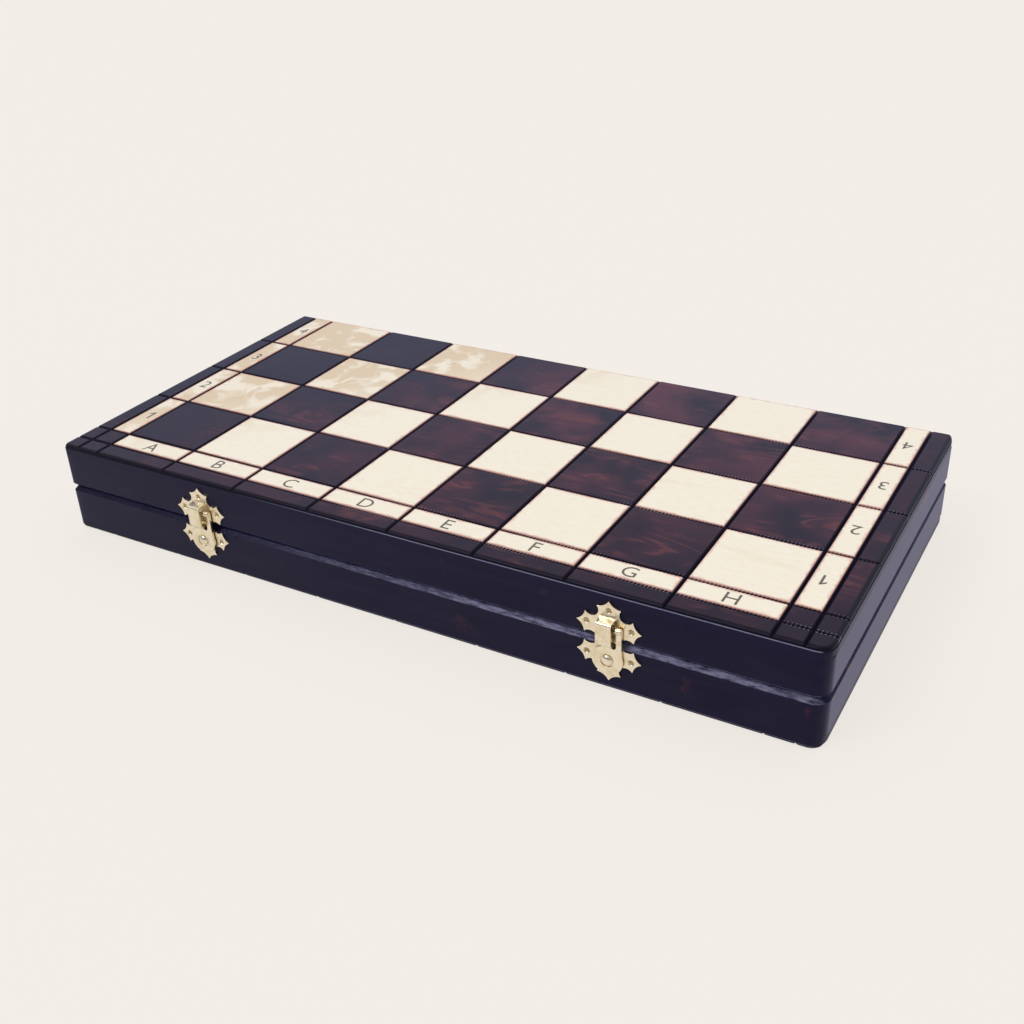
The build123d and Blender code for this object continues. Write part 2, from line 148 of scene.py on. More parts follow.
class Nodes:
    """Fills a node tree from empty. Each method adds a node and returns one of its outputs."""

    def __init__(self, tree):
        self.tree = tree
        tree.nodes.clear()

    def add(self, kind, inputs=None, out=0, **settings):
        """A node of this kind, with its input values or links and its own settings."""
        node = self.tree.nodes.new("ShaderNode" + kind)
        for key, value in settings.items():
            setattr(node, key, value)
        for key, value in (inputs or {}).items():
            if isinstance(value, bpy.types.NodeSocket):
                self.tree.links.new(value, node.inputs[key])
            else:
                node.inputs[key].default_value = value
        return node.outputs[out] if node.outputs else node

    def place(self):
        """The place on the object, which its textures follow."""
        return self.add("TexCoord", out="Object")

    def axes(self, place):
        """The three coordinates of a place."""
        return list(self.add("SeparateXYZ", {0: place}).node.outputs)

    def math(self, operation, *values, **settings):
        """A sum, a product and the like."""
        return self.add("Math", dict(enumerate(values)), operation=operation, **settings)

    def ramp(self, value, low, high, at_low=0.0, at_high=1.0, **settings):
        """Goes from at_low to at_high while the value goes from low to high, and stops there."""
        return self.add("MapRange", {0: value, 1: low, 2: high, 3: at_low, 4: at_high}, **settings)

    def blend(self, share, first, second):
        """A number between two, by the share of the second."""
        return self.add("Mix", {0: share, 2: first, 3: second})

    def tint(self, share, first, second):
        """A colour between two, by the share of the second. Either may be a hex value."""
        first, second = (linear(end) if isinstance(end, str) else end for end in (first, second))
        return self.add("Mix", {0: share, 6: first, 7: second}, out=2, data_type="RGBA")

    def drawn_out(self, place, *scale):
        """The place scaled on each axis: a factor below 1 draws a texture out along that axis."""
        return self.add("Mapping", {"Vector": place, "Scale": scale})

    def noise(self, place, waves, detail, **inputs):
        """Fractal noise of so many waves to the metre."""
        return self.add("TexNoise", {"Vector": place, "Scale": waves, "Detail": detail, **inputs})

    def bump(self, relief, strength, distance):
        """A relief that the light sees and the mesh doesn't have."""
        return self.add("Bump", {"Height": relief, "Strength": strength, "Distance": distance})

    def surface(self, inputs):
        """The finish itself, from the inputs of the principled shader."""
        self.add("OutputMaterial", {"Surface": self.add("BsdfPrincipled", inputs)})


def new_finish(name):
    """A new material and its nodes."""
    material = bpy.data.materials.new(name)
    material.use_nodes = True
    return material, Nodes(material.node_tree)


def square_parity(nodes, x, y, dark_parity):
    """1 on the light squares and 0 on the dark ones, and the place in files and ranks."""
    file_at = nodes.math("DIVIDE", nodes.math("ADD", x, HALF_FILES), SQUARE)
    rank_at = nodes.math("DIVIDE", nodes.math("SUBTRACT", Y_BACK, y), SQUARE)
    count = nodes.math("ADD", nodes.math("FLOOR", file_at), nodes.math("FLOOR", rank_at))
    shifted = nodes.math("ADD", count, float(dark_parity))
    return nodes.math("PINGPONG", shifted, 1.0), file_at, rank_at


def pale_cells(nodes, x, y, light_square):
    """1 on light squares and on the label strips, 0 on dark squares, corners and border."""
    side = nodes.math("ABSOLUTE", x)
    in_files = nodes.math("LESS_THAN", side, HALF_FILES)
    in_ranks = nodes.math("GREATER_THAN", y, RANK_FRONT)
    in_side = nodes.math("LESS_THAN", side, LABEL_SIDE)
    in_front = nodes.math("GREATER_THAN", y, LABEL_FRONT)
    in_squares = nodes.math("MULTIPLY", in_files, in_ranks)
    in_labels = nodes.math("MULTIPLY", in_side, in_front)
    both_or_none = nodes.math("COMPARE", in_files, in_ranks)
    one_only = nodes.math("SUBTRACT", 1.0, both_or_none)
    strip = nodes.math("MULTIPLY", one_only, in_labels)
    square = nodes.math("MULTIPLY", light_square, in_squares)
    return nodes.math("ADD", square, strip, use_clamp=True)


def groove_distance(nodes, x, y, file_at, rank_at):
    """Distance to the nearest groove, whichever way it runs."""
    file_gap = nodes.math("PINGPONG", file_at, 0.5)
    rank_gap = nodes.math("PINGPONG", rank_at, 0.5)
    line_away = nodes.math("MULTIPLY", nodes.math("MINIMUM", file_gap, rank_gap), SQUARE)
    side = nodes.math("ABSOLUTE", x)
    side_away = nodes.math("ABSOLUTE", nodes.math("SUBTRACT", side, LABEL_SIDE))
    front_away = nodes.math("ABSOLUTE", nodes.math("SUBTRACT", y, LABEL_FRONT))
    label_away = nodes.math("MINIMUM", side_away, front_away)
    return nodes.math("MINIMUM", line_away, label_away)


def joint_distance(nodes, z):
    """Distance from the joint between the halves, up or down."""
    return nodes.math("ABSOLUTE", nodes.math("SUBTRACT", z, JOINT_Z))


def ivory_veneer(nodes, place, away, corner, figure, fine, flecks):
    """Colour of the pale cells: ivory, with a patchy sheen painted as tan patches and whitish flecks
    towards the back left corner, with honey patches in the figure, and rosy by a groove as far as the
    stain crept in."""
    ivory = nodes.tint(nodes.ramp(fine, 0.35, 0.7), "#FAF3E2", "#F5ECD8")
    # painted sheen: tan patches with whitish flecks between them, towards the back left corner
    painted_sheen_mottle = nodes.math("MULTIPLY", nodes.ramp(flecks, 0.48, 0.58, 0.9, 0.1), corner)
    ivory = nodes.tint(painted_sheen_mottle, ivory, "#DFC9A8")
    ivory = nodes.tint(nodes.ramp(figure, 0.62, 0.74, 0.0, 0.25), ivory, "#E9D2AC")
    creep = nodes.noise(place, 260.0, 4.0)
    reach = nodes.ramp(creep, 0.35, 0.75, 1.3 * MM, 2.8 * MM)
    rosy = nodes.ramp(away, 0.9 * MM, reach, 0.75, 0.0)
    return nodes.tint(rosy, ivory, "#CC8074")


def umber_stain(nodes, x, y, slant, corner, figure, flecks, cloud):
    """Colour of the dark cells: clouded from violet black to red brown, more brown to the back,
    with streaks along the contour lines of the figure.

    It stays violet at the back left, at the left end, in the nearest corner and in the back half
    of the right border."""
    leftmost = nodes.ramp(x, -70 * MM, -150 * MM, 0.0, 0.8)
    nearest = nodes.ramp(slant, -220 * MM, -238 * MM, 0.0, 0.9)
    border = nodes.ramp(x, LABEL_SIDE - 1 * MM, LABEL_SIDE, 0.0, 0.8)
    border = nodes.math("MULTIPLY", border, nodes.ramp(y, -40 * MM, 30 * MM))
    violet = corner
    for cool in (leftmost, nearest, border):
        violet = nodes.math("MAXIMUM", violet, cool)
    warm = nodes.math("SUBTRACT", 1.0, violet)
    brown = nodes.math("MULTIPLY", nodes.ramp(cloud, 0.36, 0.6), warm)
    brown = nodes.math("MULTIPLY", brown, nodes.ramp(y, -60 * MM, 60 * MM, 0.3, 1.0))
    umber = nodes.tint(brown, "#1D111F", "#532D37")
    contour = nodes.math("PINGPONG", nodes.math("MULTIPLY", figure, CONTOURS), 0.5)
    streak = nodes.ramp(contour, 0.0, 0.3, 0.6, 0.0, interpolation_type="SMOOTHSTEP")
    broken = nodes.ramp(flecks, 0.44, 0.66)
    streak = nodes.math("MULTIPLY", nodes.math("MULTIPLY", streak, broken), warm)
    return nodes.tint(streak, umber, "#6B3A36")


def stained_birch(name, dark_parity):
    """Birch veneer, its dark squares stained black-brown, grooves burnt black, satin lacquer.

    To the eye: ivory squares, faintly mottled, with a patchy sheen painted towards the back left, rosy
    where stain crept in from the grooves, and violet-black squares with thin curly red-brown streaks; the
    edge darkens as it rounds over, with a highlight painted on its front ledge and glints painted along
    the long grooves."""
    material, nodes = new_finish(name)
    place = nodes.place()
    x, y, z = nodes.axes(place)
    light_square, file_at, rank_at = square_parity(nodes, x, y, dark_parity)
    away = groove_distance(nodes, x, y, file_at, rank_at)

    # the veneer's figure and its pores are drawn out along the ranks
    along = nodes.drawn_out(place, 0.22, 1.0, 1.0)
    figure = nodes.noise(along, 62.0, 3.0, Roughness=0.5, Distortion=1.1)
    fine = nodes.noise(along, 900.0, 3.0, Roughness=0.6)
    cloud = nodes.noise(place, 38.0, 3.0)
    flecks = nodes.noise(place, 75.0, 6.0, Distortion=0.5)
    slant = nodes.math("SUBTRACT", y, x)
    corner = nodes.ramp(slant, 58 * MM, 125 * MM)
    ivory = ivory_veneer(nodes, place, away, corner, figure, fine, flecks)
    umber = umber_stain(nodes, x, y, slant, corner, figure, flecks, cloud)
    colour = nodes.tint(pale_cells(nodes, x, y, light_square), umber, ivory)

    # the rounded edge turns near black as it goes down and the panel's side takes the rails' blue-black;
    # along the front, towards the right, a highlight is painted on the ledge as a pale bluish line
    depth = nodes.math("SUBTRACT", FACE_Z - JOINT_Z, joint_distance(nodes, z))
    side = nodes.ramp(depth, 0.02 * MM, 0.7 * MM)
    colour = nodes.tint(side, colour, "#0E0A14")
    colour = nodes.tint(nodes.ramp(depth, EDGE_ROUND, EDGE_ROUND + 0.2 * MM), colour, "#100D29")
    ledge = nodes.math("COMPARE", depth, EDGE_ROUND, EDGE_STEP / 2)
    front = nodes.ramp(y, Y_FRONT + 1.0 * MM, Y_FRONT + 0.6 * MM)
    rightward = nodes.ramp(x, -80 * MM, 0.0, 0.0, 0.8)
    painted_ledge_highlight = nodes.math("MULTIPLY", nodes.math("MULTIPLY", ledge, front), rightward)
    colour = nodes.tint(painted_ledge_highlight, colour, "#8F8DAC")

    # the grooves are burnt black down to the ledge, and pale blue-grey glints are painted where the
    # lacquer chipped along them
    burnt = nodes.ramp(nodes.add("Attribute", out="Fac", attribute_name="cut"), 0.08, 0.38)
    burnt = nodes.math("MULTIPLY", burnt, nodes.ramp(depth, 1.5 * MM, 1.4 * MM))
    colour = nodes.tint(burnt, colour, "#0A080D")
    chip_glint = nodes.add("Attribute", out="Fac", attribute_name="chip_glint")
    colour = nodes.tint(nodes.ramp(chip_glint, 0.35, 0.6, 0.0, 0.85), colour, "#85808F")

    # satin lacquer: slightly uneven gloss, duller on the edge, and pores too fine to see singly
    gloss = nodes.ramp(cloud, 0.3, 0.7, 0.26, 0.36)
    gloss = nodes.blend(side, gloss, 0.42)
    gloss = nodes.blend(ledge, gloss, 0.8)
    relief = nodes.math("ADD", fine, nodes.noise(place, 160.0, 2.0))
    nodes.surface({"Base Color": colour, "Roughness": gloss, "IOR": 1.5,
                   "Specular IOR Level": 0.2, "Specular Tint": linear("#CFCBFF"),
                   "Sheen Weight": 0.1, "Sheen Roughness": 0.35, "Sheen Tint": linear("#9C90FF"),
                   "Normal": nodes.bump(relief, 0.2, 0.04 * MM)})
    return material


def lacquered_rail():
    """Beech stained black under satin lacquer.

    To the eye: near black with a violet bloom at a low angle, a few faint red patches where the
    stain is thin, and rough saw marks on the chamfered rims, with a pale streaky highlight painted on the
    front one towards the right."""
    material, nodes = new_finish("black_stained_beech_satin_lacquer")
    place = nodes.place()
    x, y, z = nodes.axes(place)
    along = nodes.drawn_out(place, 0.2, 0.2, 1.0)
    figure = nodes.noise(along, 120.0, 4.0, Distortion=0.8)
    patch = nodes.noise(place, 60.0, 4.0, Roughness=0.6)
    black = nodes.tint(nodes.ramp(figure, 0.35, 0.7), "#131025", "#1C172C")
    thin = nodes.ramp(patch, 0.62, 0.7, 0.0, 0.5)
    thin = nodes.math("MULTIPLY", thin, nodes.ramp(x, -20 * MM, 110 * MM, 0.1, 1.0))
    colour = nodes.tint(thin, black, "#602E2E")
    rim = nodes.ramp(joint_distance(nodes, z), RIM_CHAMFER + 0.25 * MM, RIM_CHAMFER + 0.05 * MM)
    streaks = nodes.noise(nodes.drawn_out(place, 0.16, 0.5, 1.0), 900.0, 5.0, Roughness=0.7)
    # a pale streaky highlight painted on the front rim's chamfer, stronger towards the right
    painted_rim_highlight = nodes.math("MULTIPLY", nodes.ramp(streaks, 0.38, 0.6), rim)
    painted_rim_highlight = nodes.math("MULTIPLY", painted_rim_highlight, nodes.ramp(x, -75 * MM, 60 * MM, 0.0, 0.85))
    front = nodes.ramp(y, Y_FRONT + 3.0 * MM, Y_FRONT + 1.8 * MM)
    colour = nodes.tint(nodes.math("MULTIPLY", painted_rim_highlight, front), colour, "#86869C")
    saw = nodes.noise(place, 1100.0, 3.0, Roughness=0.7)
    quiet = nodes.math("MULTIPLY", nodes.noise(along, 500.0, 3.0), 0.12)
    relief = nodes.blend(rim, quiet, saw)
    nodes.surface({"Base Color": colour, "Roughness": nodes.ramp(rim, 0.0, 1.0, 0.34, 0.2),
                   "IOR": 1.5, "Specular IOR Level": 0.17, "Specular Tint": linear("#C4C4FF"),
                   "Sheen Weight": 0.28, "Sheen Roughness": 0.35, "Sheen Tint": linear("#7C78FF"),
                   "Normal": nodes.bump(relief, 0.5, 0.2 * MM)})
    return material


def brass(name, colour, tarnish, roughness):
    """Sheet brass under a thin lacquer.

    To the eye: pale gold, with faint rolling marks and a little tarnish in clouds."""
    material, nodes = new_finish(name)
    place = nodes.place()
    cloud = nodes.noise(place, 420.0, 4.0, Roughness=0.6)
    marks = nodes.noise(nodes.drawn_out(place, 1.0, 1.0, 0.12), 3500.0, 2.0)
    relief = nodes.math("ADD", cloud, marks)
    nodes.surface({"Base Color": nodes.tint(nodes.ramp(cloud, 0.45, 0.8), colour, tarnish),
                   "Metallic": 1.0,
                   "Roughness": nodes.ramp(cloud, 0.3, 0.7, roughness - 0.06, roughness + 0.08),
                   "Normal": nodes.bump(relief, 0.25, 0.05 * MM)})
    return material


def felt_cloth():
    """Pressed wool felt, dyed green.

    To the eye: matt, with a fuzzy bloom at a low angle and matted fibres."""
    material, nodes = new_finish("green_wool_felt")
    place = nodes.place()
    fibre = nodes.noise(place, 1500.0, 5.0, Roughness=0.75)
    faint = nodes.math("MULTIPLY", nodes.noise(place, 90.0, 3.0), 0.35)
    both = nodes.math("ADD", fibre, faint)
    nodes.surface({"Base Color": nodes.tint(nodes.ramp(both, 0.45, 0.9), "#16402A", "#2A6A45"),
                   "Roughness": 0.95, "Sheen Weight": 0.35, "Sheen Roughness": 0.5,
                   "Normal": nodes.bump(fibre, 0.8, 0.3 * MM)})
    return material


def label_ink():
    """Screen-printed dark grey ink.

    To the eye: satin and a little uneven where it sank into the veneer."""
    material, nodes = new_finish("grey_screen_print_ink")
    place = nodes.place()
    wear = nodes.noise(place, 1800.0, 3.0)
    nodes.surface({"Base Color": nodes.tint(nodes.ramp(wear, 0.35, 0.75), "#4E483F", "#7C7466"),
                   "Roughness": 0.4, "IOR": 1.5})
    return material


# ---------------------------------------------------------------- mesh helpers

def place_piece(piece, body, finish, replaced=()):
    """Puts a piece on its body, with its finish, in place of the CAD nodes it stands for."""
    piece.data.materials.clear()
    piece.data.materials.append(finish)
    bpy.context.scene.collection.objects.link(piece)
    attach(piece, body)
    if replaced:
        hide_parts(*replaced)
    return piece


def merged(mesh, distance=1e-7):
    """Joins doubled points, which closes poles and seams, and turns every face outwards."""
    solid = bmesh.new()
    solid.from_mesh(mesh)
    bmesh.ops.remove_doubles(solid, verts=solid.verts, dist=distance)
    bmesh.ops.recalc_face_normals(solid, faces=solid.faces)
    solid.to_mesh(mesh)
    solid.free()
    return mesh


def stops(low, high, pitch, exact):
    """Coordinates from low to high about a pitch apart, with the exact ones among them."""
    regular = np.linspace(low, high, int(round((high - low) / pitch)) + 1)
    exact = np.unique(np.round([low, high, *exact], 7))
    exact = exact[(exact >= low - 1e-9) & (exact <= high + 1e-9)]
    clear = np.abs(regular[:, None] - exact[None, :]).min(axis=1) > pitch * 0.4
    return np.sort(np.concatenate([regular[clear], exact]))


def height_field(x, y, z, floor_z):
    """Points and faces of a closed slab whose top is the grid (x, y, z) and whose flat bottom is
    a fan at floor_z; a skirt of quads joins them round the grid's rim."""
    rows, columns = x.shape
    face = np.stack([x, y, z], axis=-1).reshape(-1, 3)
    index = np.arange(rows * columns).reshape(rows, columns)
    rim = np.concatenate([index[0, :-1], index[:-1, -1], index[-1, :0:-1], index[:0:-1, 0]])
    skirt = face[rim].copy()
    skirt[:, 2] = floor_z
    middle = np.array([[x.mean(), y.mean(), floor_z]])
    points = np.concatenate([face, skirt, middle])
    low = len(face) + np.arange(len(rim))
    quads = np.stack([index[:-1, :-1], index[:-1, 1:], index[1:, 1:], index[1:, :-1]], axis=-1)
    walls = np.stack([low, np.roll(low, -1), np.roll(rim, -1), rim], axis=-1)
    fan = np.stack([np.roll(low, -1), low, np.full(len(low), len(points) - 1)], axis=-1)
    return points, quads.reshape(-1, 4), walls, fan


def mirrored(points, *faces):
    """The same points and faces mirrored about the joint, with the faces turned outwards again."""
    points = points.copy()
    points[:, 2] = 2 * JOINT_Z - points[:, 2]
    return points, *(block[:, ::-1] for block in faces)


def turned(profile, sides):
    """Points and faces of a turned form: each (radius, height) of the profile, in mm, is carried
    round the axis as a ring, and rings at radius 0 later merge into poles."""
    turn = 2 * np.pi * np.arange(sides) / sides
    radius, height = np.array(profile, float).T * MM
    points = np.stack([radius[:, None] * np.cos(turn), radius[:, None] * np.sin(turn),
                       height[:, None] * np.ones(sides)], axis=-1).reshape(-1, 3)
    index = np.arange(len(points)).reshape(len(profile), sides)
    after = np.roll(index, -1, axis=1)
    quads = np.stack([index[:-1], after[:-1], after[1:], index[1:]], axis=-1).reshape(-1, 4)
    return points, quads.tolist()


def lugs(count, radius, gap, low, high):
    """Points and faces of the raised sectors that a slot or a cross leaves on a screw's head:
    a sector is an arc of the given radius and two straight sides half a gap from the slots."""
    start = np.arcsin(gap / 2 / radius)                 # turn at which the arc begins
    width = 2 * np.pi / count
    arc = np.linspace(start, width - start, 9)
    corner = gap / 2 / np.sin(width / 2) * np.array([np.cos(width / 2), np.sin(width / 2)])
    outline = np.concatenate([[corner], radius * np.stack([np.cos(arc), np.sin(arc)], axis=-1)])
    points, faces = [], []
    for number in range(count):
        c, s = np.cos(number * width), np.sin(number * width)
        flat = outline @ np.array([[c, s], [-s, c]])
        ring = len(points) + np.arange(len(flat))
        points += [(x, y, height) for height in (low, high) for x, y in flat]
        after, over = np.roll(ring, -1), ring + len(flat)
        faces += [ring[::-1].tolist(), over.tolist()]
        faces += np.stack([ring, after, np.roll(over, -1), over], axis=-1).tolist()
    return np.array(points), faces


def fastener_group(name, parts, places, axes, body, finish, replaced):
    """One mesh of a fastener repeated at several places, its axis along the third of the axes."""
    points, faces = [], []
    for place in places:
        for part_points, part_faces in parts:
            first = sum(len(block) for block in points)
            points.append(np.array(place) + part_points @ np.array(axes, float))
            faces += [[first + corner for corner in face] for face in part_faces]
    mesh = bpy.data.meshes.new(name)
    mesh.from_pydata(np.concatenate(points).tolist(), [], faces)
    merged(mesh)
    mesh.shade_smooth()
    mesh.set_sharp_from_angle(angle=np.radians(35))
    piece = bpy.data.objects.new(name, mesh)
    return place_piece(piece, body, finish, replaced)


# ---------------------------------------------------------------- boards

def round_corners(x, y):
    """Moves the square grid's corners onto arcs: within a corner's block, a point goes out from
    the arc's centre in its own direction by the larger of its two offsets."""
    x, y = x.copy(), y.copy()
    corners = ((-1, -1, LEFT_CORNER_R), (1, -1, CORNER_R), (-1, 1, BACK_CORNER_R), (1, 1, DUBBED_R))
    for hand, outward, radius in corners:
        y_edge = Y_FRONT if outward < 0 else Y_BACK
        dx = hand * x - (HALF_LENGTH - radius)
        dy = (y - (y_edge - outward * radius)) * outward
        inside = (dx > 0) & (dy > 0)
        reach = np.hypot(dx, dy)
        scale = np.where(inside, np.maximum(dx, dy) / np.maximum(reach, 1e-12), 1.0)
        x = np.where(inside, hand * (HALF_LENGTH - radius + dx * scale), x)
        y = np.where(inside, y_edge - outward * radius + outward * dy * scale, y)
    return x, y


def chatter(x, number):
    """How far the cutter lifted out of long groove `number`: 0 not at all, 1 fully. A cosine of
    the pitch is weighed by a ramp towards the right and by a slower sine, which takes off up to
    half of it. It lifts little out of number 0, along the open edge."""
    rightward = np.clip((x - CHATTER_START) / (CHATTER_FULL - CHATTER_START), 0, 1)
    share = 1.0 if number else OPEN_GROOVE_SHARE
    slow = 0.75 + 0.25 * np.sin(2 * np.pi * (x / CHATTER_SWING + 0.29 * number))
    return share * rightward * slow * (1 - np.cos(2 * np.pi * (x / CHATTER + 0.37 * number))) / 2


def chip_glints(x, y):
    """Pale marks where the lifting cutter tore the lacquer at both mouths of the long grooves, partly
    chips and partly painted
    glints: full at four fifths of the half width, and none a fifth of the whole width from there."""
    chip_glint_share = np.zeros_like(x)
    for number, line in enumerate(LINES_Y):
        near = 1 - np.abs(np.abs(y - line) - 0.8 * GROOVE_WIDTH / 2) / (0.2 * GROOVE_WIDTH)
        chip_glint_share = np.maximum(chip_glint_share, np.clip(near, 0, 1) * chatter(x, number))
    return chip_glint_share


def groove_depth(x, y):
    """Depth of the deepest V-groove at each point: it falls linearly from middle to mouth, and
    is no less than 0 between the grooves.

    The grooves from front to back run shallower towards the open back edge. Along the long
    grooves the cutter chattered, so their depth and mouth shrink and swell with chatter()."""
    depth = np.zeros_like(x)
    half = GROOVE_WIDTH / 2
    rise = np.clip((Y_BACK - y) / GROOVE_LIFT, 0, 1)
    full = GROOVE_DEPTH * (GROOVE_END_DEPTH + (1 - GROOVE_END_DEPTH) * rise)
    for line in LINES_X:
        depth = np.maximum(depth, full * (1 - np.abs(x - line) / half))
    for number, line in enumerate(LINES_Y):
        lifted = chatter(x, number)
        mouth = half * (1 - LIFTED_MOUTH * lifted)
        deep = GROOVE_DEPTH * (1 - LIFTED_DEPTH * lifted)
        depth = np.maximum(depth, deep * (1 - np.abs(y - line) / mouth))
    return depth


def edge_distance(x, y):
    """Distance inwards from the outline, whose front corners are arcs and whose back is open. In
    the back right corner it is measured from an ellipse, so that the edge fades out there."""
    radius = np.where(x < 0, LEFT_CORNER_R, CORNER_R)
    qx = np.abs(x) - (HALF_LENGTH - radius)
    qy = (Y_FRONT + radius) - y
    outside = np.hypot(np.maximum(qx, 0), np.maximum(qy, 0))
    inwards = radius - (np.minimum(np.maximum(qx, qy), 0) + outside)
    corner_x = np.maximum(x - (HALF_LENGTH - DUBBED_R), 0)
    corner_y = np.maximum(y - (Y_BACK - DUBBED_R), 0)
    return np.minimum(inwards, DUBBED_R - np.hypot(corner_x, DUBBED_FADE * corner_y))


def edge_depth(inwards):
    """Depth of the worked edge: a bevelled ledge as deep as it is wide, then a quarter circle up
    to the face."""
    ledge = EDGE_ROUND + np.clip(EDGE_STEP - inwards, 0, EDGE_STEP)
    across = np.clip(1 - (inwards - EDGE_STEP) / EDGE_ROUND, 0, 1)
    return np.where(inwards < EDGE_STEP, ledge, EDGE_ROUND * (1 - np.sqrt(1 - across ** 2)))


def board_stops():
    """Column and row coordinates of a board's grid, on every groove and round the edge."""
    half = GROOVE_WIDTH / 2
    turns = np.radians([0, 15, 30, 45, 60, 75, 90])
    insets = [0, *(EDGE_STEP + EDGE_ROUND * (1 - np.cos(turns))), LEFT_CORNER_R, CORNER_R]
    exact_x = [line + offset for line in LINES_X for offset in (-half, 0, half)]
    exact_x += [sign * (HALF_LENGTH - inset) for sign in (-1, 1) for inset in insets]
    exact_y = [line + sign * half * share for line in LINES_Y for sign in (-1, 1)
               for share in (0, 0.35, 0.6, 0.8, 1.0, 1.12)]
    exact_y += [Y_FRONT + inset for inset in insets]
    exact_y += [Y_BACK - inset for inset in (0.5 * MM, 1.2 * MM, 2.0 * MM, BACK_CORNER_R,
                                             DUBBED_R, GROOVE_LIFT)]
    return (stops(-HALF_LENGTH, HALF_LENGTH, CHATTER / 4, exact_x),
            stops(Y_FRONT, Y_BACK, SQUARE / 3, exact_y))


def black_band(x, y, inwards):
    """1 in the near-black band along the front and right edges, and 0 within a short fade."""
    width = np.where((x > 0) & (y > Y_FRONT + CORNER_R), SIDE_BAND, FRONT_BAND)
    stained = (x > 0) | (y < Y_FRONT + CORNER_R)
    return np.where(stained, np.clip((width - inwards) / BAND_FADE, 0, 1), 0)


def board_face(name, node, body, finish, flip):
    """A board panel as a height field over its plan: the deeper of the grooves and the worked
    edge at each point. The lower half is the same field mirrored about the joint.

    Attribute cut is the grooves' depth beyond the edge's as a share of the full depth, or the
    black band where that is more; chip is chips() outside the grooves."""
    x, y = round_corners(*np.meshgrid(*board_stops()))
    grooves = groove_depth(x, y)
    inwards = edge_distance(x, y)
    edge = edge_depth(inwards)
    points, quads, walls, fan = height_field(x, y, FACE_Z - np.maximum(grooves, edge), PANEL_Z)
    if flip:
        points, quads, walls, fan = mirrored(points, quads, walls, fan)
    mesh = bpy.data.meshes.new(name)
    mesh.from_pydata(points.tolist(), [], quads.tolist() + walls.tolist() + fan.tolist())
    cut = np.maximum(grooves - edge, 0) / GROOVE_DEPTH
    cut = np.maximum(cut, BURNT * black_band(x, y, inwards))
    chip_glint = np.where(grooves > 0.05 * MM, 0, chip_glints(x, y))
    for attribute, values in (("cut", cut), ("chip_glint", chip_glint)):
        everywhere = np.zeros(len(points))
        everywhere[:x.size] = values.ravel()
        mesh.attributes.new(attribute, "FLOAT", "POINT").data.foreach_set("value", everywhere)
    mesh.shade_smooth()
    mesh.set_sharp_from_angle(angle=np.radians(25))
    piece = bpy.data.objects.new(name, mesh)
    return place_piece(piece, body, finish, (node,))


def figure_one(name):
    """Outline of a figure 1 with its flag, which the plain font lacks."""
    corners = ((0.3, 0.69), (0.23, 0.69), (0.04, 0.53), (0.04, 0.42), (0.2, 0.54), (0.2, 0), (0.3, 0))
    curve = bpy.data.curves.new(name, "CURVE")
    curve.dimensions = "2D"
    curve.fill_mode = "BOTH"
    line = curve.splines.new("POLY")
    line.points.add(len(corners) - 1)
    for point, corner in zip(line.points, corners):
        point.co = (*corner, 0, 1)
    line.use_cyclic_u = True
    return curve


def letter(name, text):
    """Outline of a letter or number in the plain font."""
    curve = bpy.data.curves.new(name, "FONT")
    curve.body = text
    curve.resolution_u = 4
    return curve


def label(name, text, middle, right, up, body, finish):
    """One printed letter or number: a thin sheet of ink whose middle, right and up are given."""
    curve = figure_one(name) if text == "1" else letter(name, text)
    curve.extrude = 0.001           # only gives it two faces, which INK then sets apart
    writer = bpy.data.objects.new(name + "_writer", curve)
    bpy.context.scene.collection.objects.link(writer)
    mesh = bpy.data.meshes.new_from_object(writer)
    bpy.data.objects.remove(writer)
    points = np.array([v.co for v in mesh.vertices])
    low, high = points.min(axis=0), points.max(axis=0)
    scale = LABEL_HEIGHT / (high[1] - low[1])
    flat = (points - (low + high) / 2) * scale
    flat[:, 2] = np.sign(flat[:, 2]) * INK
    right, up = np.array(right, float), np.array(up, float)
    out = np.cross(right, up)
    placed = np.array(middle) + flat[:, :1] * right + flat[:, 1:2] * up + flat[:, 2:] * out
    mesh.vertices.foreach_set("co", placed.ravel())
    mesh.name = name
    piece = bpy.data.objects.new(name, merged(mesh))
    return place_piece(piece, body, finish)


def labels(ink):
    """Letters along both ends of the opened board and numbers along its sides."""
    strip_y = (RANK_FRONT + LABEL_FRONT) / 2
    strip_x = (HALF_FILES + LABEL_SIDE) / 2
    file_x = [(i + 0.5) * SQUARE - HALF_FILES for i in range(FILES)]
    rank_y = [Y_BACK - (i + 0.5) * SQUARE for i in range(RANKS)]
    underside = 2 * JOINT_Z - FACE_Z
    for body, z, turn, numbers in (("lid", FACE_Z, 1, "4321"), ("base", underside, -1, "5678")):
        for text, x in zip("ABCDEFGH", file_x):
            label(f"{body}_letter_{text}", text, (x, strip_y, z), (turn, 0, 0), (0, 1, 0), body, ink)
        for text, y in zip(numbers, rank_y):
            label(f"{body}_left_{text}", text, (-strip_x, y, z), (1, 0, 0), (0, turn, 0), body, ink)
            label(f"{body}_right_{text}", text, (strip_x, y, z), (-1, 0, 0), (0, -turn, 0), body, ink)


